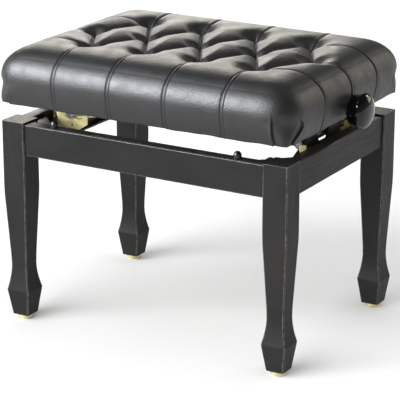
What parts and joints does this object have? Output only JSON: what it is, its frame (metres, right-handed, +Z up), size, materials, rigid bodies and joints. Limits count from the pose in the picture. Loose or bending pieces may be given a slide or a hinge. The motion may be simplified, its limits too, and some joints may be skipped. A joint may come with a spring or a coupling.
{
  "type": "piano bench",
  "caption": "Height-adjustable piano bench: tufted leather seat on a scissor lift, turned by a side knob, over a black wooden frame with spade-footed legs.",
  "frame": {"origin": "on the floor under the middle of the frame", "axes": "+X along the long side towards the right knob, +Y towards the back, +Z up"},
  "size_m": [0.658, 0.441, 0.502],
  "materials": {
    "black_lacquered_wood": "satin",
    "stained_wood": "matte",
    "zinc_screws": "satin",
    "brass_glides": "satin",
    "rubber": "satin",
    "black_steel": "satin",
    "yellow_zinc": "satin",
    "bright_steel": "satin",
    "nylon": "matte",
    "bronze": "satin",
    "foam": "matte",
    "black_leather": "satin",
    "black_knob": "gloss"
  },
  "bodies": {
    "base": {"leg_front_left": "black_lacquered_wood", "leg_front_right": "black_lacquered_wood", "leg_back_left": "black_lacquered_wood", "leg_back_right": "black_lacquered_wood", "rail_front": "black_lacquered_wood", "rail_back": "black_lacquered_wood", "rail_left": "black_lacquered_wood", "rail_right": "black_lacquered_wood", "corner_blocks": "black_lacquered_wood", "leg_bolts": "zinc_screws", "foot_glides": "brass_glides", "seat_bumpers": "rubber", "end_plate_left": "black_steel", "end_plate_right": "black_steel", "rail_brackets": "yellow_zinc", "frame_screws": "zinc_screws", "slide_plate_front": "yellow_zinc", "slide_plate_back": "yellow_zinc", "lower_pivot_rod": "bright_steel"},
    "drive_arms": {"drive_arm_front": "black_steel", "drive_arm_back": "black_steel", "drive_cross_plate": "black_steel", "drive_pivot_tube": "black_steel", "centre_pins": "bright_steel", "centre_spacers": "yellow_zinc"},
    "guide_arms": {"guide_arm_front": "yellow_zinc", "guide_arm_back": "yellow_zinc", "guide_cross_plate": "black_steel", "lower_slide_rod": "bright_steel", "lower_slide_bushes": "nylon"},
    "nut": {"nut_rod": "bright_steel", "nut_block": "yellow_zinc", "upper_slide_bushes": "nylon"},
    "seat": {"seat_track_front": "yellow_zinc", "seat_track_back": "yellow_zinc", "seat_pivot_bracket_front": "yellow_zinc", "seat_pivot_bracket_back": "yellow_zinc", "upper_pivot_rod": "bright_steel", "seat_screws": "zinc_screws", "seat_board": "stained_wood", "seat_side_front": "stained_wood", "seat_side_back": "stained_wood", "seat_side_left": "stained_wood", "seat_side_right": "stained_wood", "screw_bush_left": "bronze", "screw_bush_right": "bronze", "foam_pad": "foam", "side_pad_front": "foam", "side_pad_back": "foam", "side_pad_left": "foam", "side_pad_right": "foam", "leather_cover": "black_leather"},
    "screw": {"lead_screw": "bright_steel", "thrust_collars": "yellow_zinc", "knob_left": "black_knob", "knob_right": "black_knob", "knob_grub_screws": "zinc_screws"}
  },
  "joints": [
    {"name": "lift", "type": "hinge", "parent": "base", "child": "drive_arms", "pos_m": [0.226, 0, 0.364], "axis": [0, 1, 0], "range_deg": [-3.02, 10.09]},
    {"name": "arms_cross", "type": "hinge", "parent": "drive_arms", "child": "guide_arms", "pos_m": [0.00888, 0, 0.3995], "axis": [0, 1, 0], "range_deg": [-20.38, 6.24]},
    {"name": "seat_level", "type": "hinge", "parent": "guide_arms", "child": "seat", "pos_m": [0.226, 0, 0.435], "axis": [0, 1, 0], "range_deg": [-3.12, 10.19]},
    {"name": "nut_level", "type": "hinge", "parent": "drive_arms", "child": "nut", "pos_m": [-0.20823, 0, 0.435], "axis": [0, 1, 0], "range_deg": [-10.19, 3.12]},
    {"name": "knob_turn", "type": "hinge", "parent": "seat", "child": "screw", "pos_m": [0, 0, 0.418], "axis": [1, 0, 0], "range_deg": [-1554, 472]}
  ],
  "couplings": [
    {"joint": "arms_cross", "follows": "lift", "ratio": -2},
    {"joint": "seat_level", "follows": "lift", "ratio": 1},
    {"joint": "nut_level", "follows": "lift", "ratio": -1},
    {"joint": "knob_turn", "follows": "lift", "ratio": -153}
  ]
}
